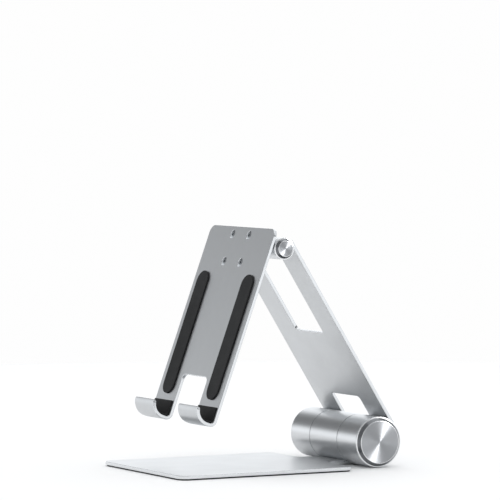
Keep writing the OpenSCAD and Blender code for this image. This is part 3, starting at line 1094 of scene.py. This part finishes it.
@dataclass(frozen=True)
class Holder:
    """The holder sheet with its two bent hooks, its rubber and the block that carries it.

    Attributes:
        half_w, hook_w: Half the sheet's width, and the width of each hook.
        top, drop: How far the sheet rises above the axis, and the hooks' floor lies below it.
        gap_h: Height of the gap between the hooks.
        back, thickness: How far the sheet's rear face lies ahead of the axis, and its thickness.
        corner_r, gap_r: Radii of the top corners and of the gap.
        front_r, rear_r: Outer radii of the hook's two bends.
        throat: The hooks' opening, between their linings.
        rubber_t: Thickness of the linings and the pads.
        lip_h, lip_r, lip_cut_degrees: The lip's height, its corner radius and that arc's steps.
        lining_inset, lining_climb: The lining's margin, and how far it runs up behind the tablet.
        pad_w, pad_gap, pad_end_flat: The pads' width, their margins and the flat at each end.
        block_half_w, block_t, block_below, block_above, block_r: The saddle block.
        screw, screw_pitch: The saddle's screws, and how far apart they are.
        edge, soft_edge: Widths of the rounds on metal and on rubber.
        bend_steps: Steps in each bend.
    """

    half_w: float = 42.0
    hook_w: float = 25.5
    top: float = 9.0
    drop: float = 110.0
    gap_h: float = 26.0
    back: float = 7.4
    thickness: float = 2.0
    corner_r: float = 5.0
    gap_r: float = 3.5
    front_r: float = 9.0
    rear_r: float = 4.0
    throat: float = 9.0
    rubber_t: float = 1.0
    lip_r: float = 1.8
    lip_cut_degrees: int = 15
    lining_inset: float = 1.0
    lining_climb: float = 9.0
    lip_h: float = 6.0
    pad_w: float = 14.0
    pad_gap: float = 4.0
    pad_end_flat: float = 0.6
    block_half_w: float = 15.5
    block_t: float = 4.0
    block_below: float = 16.0
    block_above: float = 7.0
    block_r: float = 2.0
    screw: CountersunkScrew = CountersunkScrew(3.0, 5.5)
    screw_pitch: float = 21.0
    edge: float = 0.3
    soft_edge: float = 0.35
    bend_steps: int = 14

    @property
    def front(self) -> float:
        """Gives the distance of the front face ahead of the axis."""
        return self.back + self.thickness

    @property
    def hook_bottom(self) -> float:
        """Gives the height of the hooks' lowest line."""
        return -self.drop - self.rubber_t - self.thickness

    @property
    def hook_depth(self) -> float:
        """Gives the depth of the hooks over their sheet."""
        return 2 * self.thickness + 2 * self.rubber_t + self.throat

    @property
    def mid_throat(self) -> float:
        """Gives the middle of the hooks' opening, along Y."""
        return -self.front - self.rubber_t - self.throat / 2

    @property
    def prong_x(self) -> float:
        """Gives the middle of each prong."""
        return self.half_w - self.hook_w / 2

    @property
    def screw_set(self) -> ScrewSet:
        """Gives the screws from the front into the saddle block."""
        margin = self.screw.thread_d
        spots = tuple(
            (side.value * self.screw_pitch / 2, -self.front, height)
            for side in Side
            for height in (margin - self.block_below, self.block_above - margin)
        )
        return ScrewSet(self.screw, spots, Matrix.Rotation(-math.pi / 2, 4, "Z"))

    def bend_round(self, mesh: bmesh.types.BMesh, end: bmesh.types.BMFace) -> bmesh.types.BMFace:
        """Carries a strip from its upright end through the hook's two bends.

        Args:
            mesh: The strip's mesh.
            end: The strip's lower end face, level with the start of the rear bend.

        Returns:
            The face at the strip's far end, which looks up.
        """
        rear = (0, -self.back - self.rear_r, self.hook_bottom + self.rear_r)
        ahead = (0, self.front_r - self.back - self.hook_depth, self.hook_bottom + self.front_r)
        end = self.bend(mesh, end, rear)
        end = self.pull(mesh, end, (0, ahead[1] - rear[1], 0))
        return self.bend(mesh, end, ahead)

    def bend(
        self, mesh: bmesh.types.BMesh, end: bmesh.types.BMFace, centre: Sequence[float]
    ) -> bmesh.types.BMFace:
        """Bends a strip's end through a right angle about a line along X.

        Args:
            mesh: The strip's mesh.
            end: Its end face.
            centre: A point on the line.

        Returns:
            The new end face.
        """
        made = bmesh.ops.spin(
            mesh, geom=[end, *end.edges], cent=centre, axis=(1, 0, 0), angle=-math.pi / 2,
            steps=self.bend_steps, use_merge=False, use_duplicate=False,
        )
        return next(item for item in made["geom_last"] if isinstance(item, bmesh.types.BMFace))

    def pull(
        self, mesh: bmesh.types.BMesh, end: bmesh.types.BMFace, reach: Sequence[float]
    ) -> bmesh.types.BMFace:
        """Pulls a strip's end straight on.

        Args:
            mesh: The strip's mesh.
            end: Its end face.
            reach: How far and which way.

        Returns:
            The new end face.
        """
        made = bmesh.ops.extrude_face_region(mesh, geom=[end, *end.edges])["geom"]
        moved = [item for item in made if isinstance(item, bmesh.types.BMVert)]
        bmesh.ops.translate(mesh, verts=moved, vec=reach)
        return next(item for item in made if isinstance(item, bmesh.types.BMFace))

    def plate(self) -> None:
        """Makes the holder sheet and bends its prongs into hooks."""
        inner = self.half_w - self.hook_w
        start = self.hook_bottom + self.rear_r
        crown = self.gap_h - self.drop
        right = [
            (inner, crown, self.gap_r), (inner, start, 0), (self.half_w, start, 0),
            (self.half_w, self.top, self.corner_r),
        ]
        mesh = upright(sheet(right, self.thickness), -self.back)
        bmesh.ops.recalc_face_normals(mesh, faces=mesh.faces)
        ends = [
            face for face in mesh.faces
            if face.normal.z < FACING_DOWN and abs(face.calc_center_median().z - start) < MERGE_MM
        ]
        for end in ends:
            self.bend_round(mesh, end)
        bmesh.ops.recalc_face_normals(mesh, faces=mesh.faces)
        for side in Side:
            self.round_tip(mesh, side)
        break_edges(mesh, self.edge)
        mesh = carve(mesh, self.screw_set.holes(self.thickness + OVERCUT_MM))
        finished(
            "bent_holder_plate", mesh, PLACES.holder, "holder",
            ["holder_plate"], (SHEET, CUT_EDGE),
        )

    def round_tip(self, mesh: bmesh.types.BMesh, side: Side) -> None:
        """Rounds the two corners of one hook's lip with a fan of flat cuts.

        Args:
            mesh: The holder's sheet.
            side: Which hook.
        """
        for way in (-1, 1):
            reach = way * (self.hook_w / 2 - self.lip_r)
            centre = Vector(
                (side.value * self.prong_x + reach, 0, self.lip_h - self.lip_r - self.drop)
            )
            for degrees in range(self.lip_cut_degrees, 90, self.lip_cut_degrees):
                turn = math.radians(degrees)
                away = Vector((way * math.cos(turn), 0, math.sin(turn)))
                slice_off(
                    mesh, centre + away * self.lip_r, away,
                    within=lambda place: place.y < self.mid_throat and place.x * side.value > 0,
                )

    def lining(self, side: Side) -> None:
        """Makes the rubber inside one hook.

        Args:
            side: Which hook.
        """
        half = self.hook_w / 2 - self.lining_inset
        near = -self.front
        start = self.hook_bottom + self.rear_r
        climb = self.lining_climb - self.drop
        corners = [(-half, start, 0), (half, start, 0), (half, climb, 0), (-half, climb, 0)]
        mesh = upright(prism(corners, self.rubber_t), near)
        bmesh.ops.recalc_face_normals(mesh, faces=mesh.faces)
        end = next(face for face in mesh.faces if face.normal.z < FACING_DOWN)
        self.bend_round(mesh, end)
        bmesh.ops.recalc_face_normals(mesh, faces=mesh.faces)
        lip = (0, 0, self.lip_h - self.lining_inset - self.drop)
        slice_off(mesh, lip, (0, 0, 1), within=lambda place: place.y < self.mid_throat)
        break_edges(mesh, self.soft_edge, segments=3)
        bmesh.ops.translate(mesh, verts=mesh.verts, vec=(side.value * self.prong_x, 0, 0))
        finished(
            f"moulded_hook_lining_{side.word}", mesh, PLACES.holder, "holder",
            [f"hook_lining_{side.word}"], (RUBBER, RUBBER),
        )

    def pad(self, side: Side) -> None:
        """Makes one pad for the tablet's back.

        Args:
            side: Which pad.
        """
        low = self.lining_climb + self.pad_gap - self.drop
        high = -self.block_below - self.pad_gap
        round_r = self.pad_w / 2 - self.pad_end_flat
        middle, half = side.value * self.prong_x, self.pad_w / 2
        corners = [
            (middle + x * half, y, round_r) for x, y in ((-1, low), (1, low), (1, high), (-1, high))
        ]
        mesh = upright(prism(corners, self.rubber_t), -self.front)
        break_edges(mesh, self.soft_edge, segments=4)
        finished(
            f"moulded_back_pad_{side.word}", mesh, PLACES.holder, "holder",
            [f"back_pad_{side.word}"], (RUBBER, RUBBER),
        )

    def saddle(self) -> None:
        """Makes the upper barrel's middle with the block that carries the holder."""
        half = self.block_half_w
        corners = [(x * half, y, self.block_r) for x, y in (
            (-1, -self.block_below), (1, -self.block_below), (1, self.block_above),
            (-1, self.block_above),
        )]
        block = upright(prism(corners, self.block_t), self.block_t - self.back)
        middle = UPPER_BARREL.middle_blank()
        for part in (block, middle):
            break_edges(part, UPPER_BARREL.edge)
        finished(
            "turned_saddle_knuckle", joined([block, middle]), PLACES.holder, "holder",
            ["upper_saddle_knuckle"], UPPER_BARREL.finishes,
        )

    def build(self) -> None:
        """Makes every piece of the holder."""
        self.plate()
        self.saddle()
        self.screw_set.build("saddle_screws", PLACES.holder, "holder")
        for side in Side:
            self.lining(side)
            self.pad(side)


# ---- Inside the hinges ----


@dataclass(frozen=True)
class HingeInsides:
    """The pieces inside the barrels, which keep their frame meshes."""

    finishes: tuple[tuple[str, Finish], ...] = (
        ("shaft_pin", ZINC), ("shaft", GROUND_STEEL), ("seam_washer", ACETAL), ("bush", BRONZE),
        ("thrust_washer", BRONZE), ("disc_springs", SPRING_STEEL), ("lock_nut", ZINC),
    )

    def dress(self) -> None:
        """Gives every frame node that still shows its finish."""
        for name, node in sorted(frame["nodes"].items()):
            if node.hide_render:
                continue
            finish = next(finish for word, finish in self.finishes if word in name)
            node.data.materials.clear()
            node.data.materials.append(finish.material())
            LOG.info("%s: %s", name, finish.name)


# ---- Studio ----


@dataclass(frozen=True)
class Softbox:
    """A soft light that the camera doesn't see itself."""

    name: str
    place: tuple[float, float, float]
    aim: tuple[float, float, float]
    size: tuple[float, float]
    watts: float
    along: tuple[float, float, float] = (0.0, 1.0, 0.0)
    only_on: str = ""

    def build(self) -> None:
        """Hangs the light and points it."""
        data = bpy.data.lights.new(self.name, "AREA")
        data.shape = "RECTANGLE"
        data.size, data.size_y = self.size
        data.energy = self.watts
        lamp = bpy.data.objects.new(self.name, data)
        lamp.location = self.place
        back = (Vector(self.place) - Vector(self.aim)).normalized()
        across = Vector(self.along).cross(back).normalized()
        turn = Matrix((across, back.cross(across), back)).transposed()
        lamp.rotation_mode = "QUATERNION"
        lamp.rotation_quaternion = turn.to_quaternion()
        lamp.visible_camera = False
        if self.only_on:
            lit = bpy.data.collections.new(f"lit by {self.name}")
            for piece in bpy.data.objects:
                if self.only_on in piece.name and not piece.hide_render:
                    lit.objects.link(piece)
            lamp.light_linking.receiver_collection = lit
        bpy.context.scene.collection.objects.link(lamp)


@dataclass(frozen=True)
class Rise:
    """A part of the room, which grows from nothing to full along one axis.

    Attributes:
        name: The part's name.
        axis: The axis of the direction that is looked along.
        start, end: Where on that axis, from -1 to 1, the part is nothing and full.
    """

    name: str
    axis: str
    start: float
    end: float


@dataclass(frozen=True)
class Mix:
    """A step that puts parts of the room together.

    Attributes:
        name: The result's name, which may take the place of an earlier one.
        operation: The sum that is done.
        terms: Names of parts, or plain numbers, in the order that the sum takes them.
    """

    name: str
    operation: str
    terms: tuple[str | float, ...]


@dataclass(frozen=True)
class Studio:
    """The pale floor, the soft surroundings, the lights and the camera.

    Attributes:
        azimuth, elevation, roll: The camera's angles, in degrees.
        distance: How far it stands from the point that it aims at, in metres.
        aim: That point.
        lens: Its focal length in millimetres.
        floor_r, floor_steps: The floor's radius in metres, and its sides.
        plain_light: How bright the room is, as it lights the floor.
        rises, mixes: The parts of the room that metal mirrors, and how they add up to "level".
        boxes: The lights.
    """

    azimuth: float = 62.959
    elevation: float = 2.430
    roll: float = -0.2615
    distance: float = 2.3544
    aim: tuple[float, float, float] = (0.0, 0.01563, 0.12925)
    lens: float = 285.764
    floor_r: float = 0.9
    floor_steps: int = 128
    plain_light: float = 0.99
    rises: tuple[Rise, ...] = (
        Rise("horizon", "Z", 0.3, 0.12), Rise("rear", "Y", -0.02, 0.2),
        Rise("left", "X", -0.3, -0.7), Rise("right", "X", 0.62, 0.84),
        Rise("right_low", "Z", 0.22, 0.05), Rise("flag_left", "X", -0.45, -0.7),
        Rise("flag_high", "Z", 0.17, 0.29), Rise("flag_front", "Y", 0.04, -0.1),
    )
    mixes: tuple[Mix, ...] = (
        Mix("walls", "MAXIMUM", ("horizon", "rear")),
        Mix("wall_light", "MULTIPLY_ADD", ("left", 0.45, 0.4)),
        Mix("level", "MULTIPLY_ADD", ("walls", "wall_light", 0.55)),
        Mix("flag", "MULTIPLY", ("flag_left", "flag_high")),
        Mix("flag", "MULTIPLY", ("flag", "flag_front")),
        Mix("past_flag", "MULTIPLY_ADD", ("flag", -0.6, 1.0)),
        Mix("level", "MULTIPLY", ("level", "past_flag")),
        Mix("right_dark", "MULTIPLY_ADD", ("right", -0.82, 1.0)),
        Mix("level", "MULTIPLY", ("level", "right_dark")),
        Mix("right_band", "MULTIPLY", ("right", "right_low")),
        Mix("level", "MULTIPLY_ADD", ("right_band", 1.1, "level")),
    )
    boxes: tuple[Softbox, ...] = (
        Softbox("overhead", (-0.1, 0.25, 1.3), (0.0, 0.0, 0.0), (1.5, 1.1), 4.0),
        Softbox(
            "tall_strip", (0.971, 1.213, 0.655), (0.043, 0.079, 0.015), (0.4, 1.3), 17.0,
            along=(-0.736, 0.338, 0.586), only_on="spun_",
        ),
    )

    def camera(self) -> None:
        """Makes the camera and sets it as the scene's."""
        turn, rise = math.radians(self.azimuth), math.radians(self.elevation)
        back = Vector((
            math.sin(turn) * math.cos(rise), -math.cos(turn) * math.cos(rise), math.sin(rise)
        ))
        data = bpy.data.cameras.new("camera")
        data.lens = self.lens
        camera = bpy.data.objects.new("camera", data)
        camera.location = Vector(self.aim) + back * self.distance
        camera.rotation_mode = "QUATERNION"
        roll = Quaternion((0, 0, 1), math.radians(self.roll))
        camera.rotation_quaternion = (-back).to_track_quat("-Z", "Y") @ roll
        bpy.context.scene.collection.objects.link(camera)
        bpy.context.scene.camera = camera

    def floor(self) -> None:
        """Lays the plain pale floor."""
        mesh = bmesh.new()
        bmesh.ops.create_circle(mesh, cap_ends=True, segments=self.floor_steps, radius=self.floor_r)
        data = bpy.data.meshes.new("floor")
        mesh.to_mesh(data)
        mesh.free()
        paint = bpy.data.materials.new("painted floor, matt white")
        paint.use_nodes = True
        shader = paint.node_tree.nodes["Principled BSDF"]
        shader.inputs["Base Color"].default_value = linear("F4F5F6")
        shader.inputs["Roughness"].default_value = 0.8
        shader.inputs["Specular IOR Level"].default_value = 0.2
        data.materials.append(paint)
        floor = bpy.data.objects.new("floor", data)
        bpy.context.scene.collection.objects.link(floor)

    def surroundings(self) -> None:
        """Sets an even white room, with the dark flags and bright walls that metal mirrors."""
        world = bpy.data.worlds.new("white room")
        bpy.context.scene.world = world
        world.use_nodes = True
        tree = world.node_tree
        tree.nodes.clear()
        way = add_node(tree, "ShaderNodeTexCoord").outputs["Generated"]
        axes = add_node(tree, "ShaderNodeSeparateXYZ", {"Vector": way}).outputs
        parts = {
            rise.name: add_node(
                tree, "ShaderNodeMapRange",
                {"Value": axes[rise.axis], "From Min": rise.start, "From Max": rise.end},
                interpolation_type="SMOOTHSTEP",
            ).outputs["Result"]
            for rise in self.rises
        }
        for mix in self.mixes:
            terms = {number: parts.get(term, term) for number, term in enumerate(mix.terms)}
            parts[mix.name] = add_node(
                tree, "ShaderNodeMath", terms, operation=mix.operation
            ).outputs[0]
        room = add_node(
            tree, "ShaderNodeBackground",
            {"Color": linear("F7F9FB"), "Strength": parts["level"]},
        )
        plain = add_node(
            tree, "ShaderNodeBackground",
            {"Color": linear("FFFFFF"), "Strength": self.plain_light},
        )
        mirrored = add_node(tree, "ShaderNodeLightPath").outputs["Is Glossy Ray"]
        mixed = add_node(
            tree, "ShaderNodeMixShader",
            {0: mirrored, 1: plain.outputs["Background"], 2: room.outputs["Background"]},
        )
        output = add_node(tree, "ShaderNodeOutputWorld")
        tree.links.new(mixed.outputs["Shader"], output.inputs["Surface"])

    def build(self) -> None:
        """Makes the whole studio."""
        self.camera()
        self.floor()
        self.surroundings()
        for box in self.boxes:
            box.build()
        bpy.context.scene.view_settings.view_transform = "Standard"


def main() -> None:
    """Builds the stand and the studio."""
    logging.basicConfig(level=logging.INFO, format="%(message)s")
    for assembly in (Base(), Arm(), Holder()):
        assembly.build()
    HingeInsides().dress()
    Studio().build()


if __name__ == "__main__":
    main()
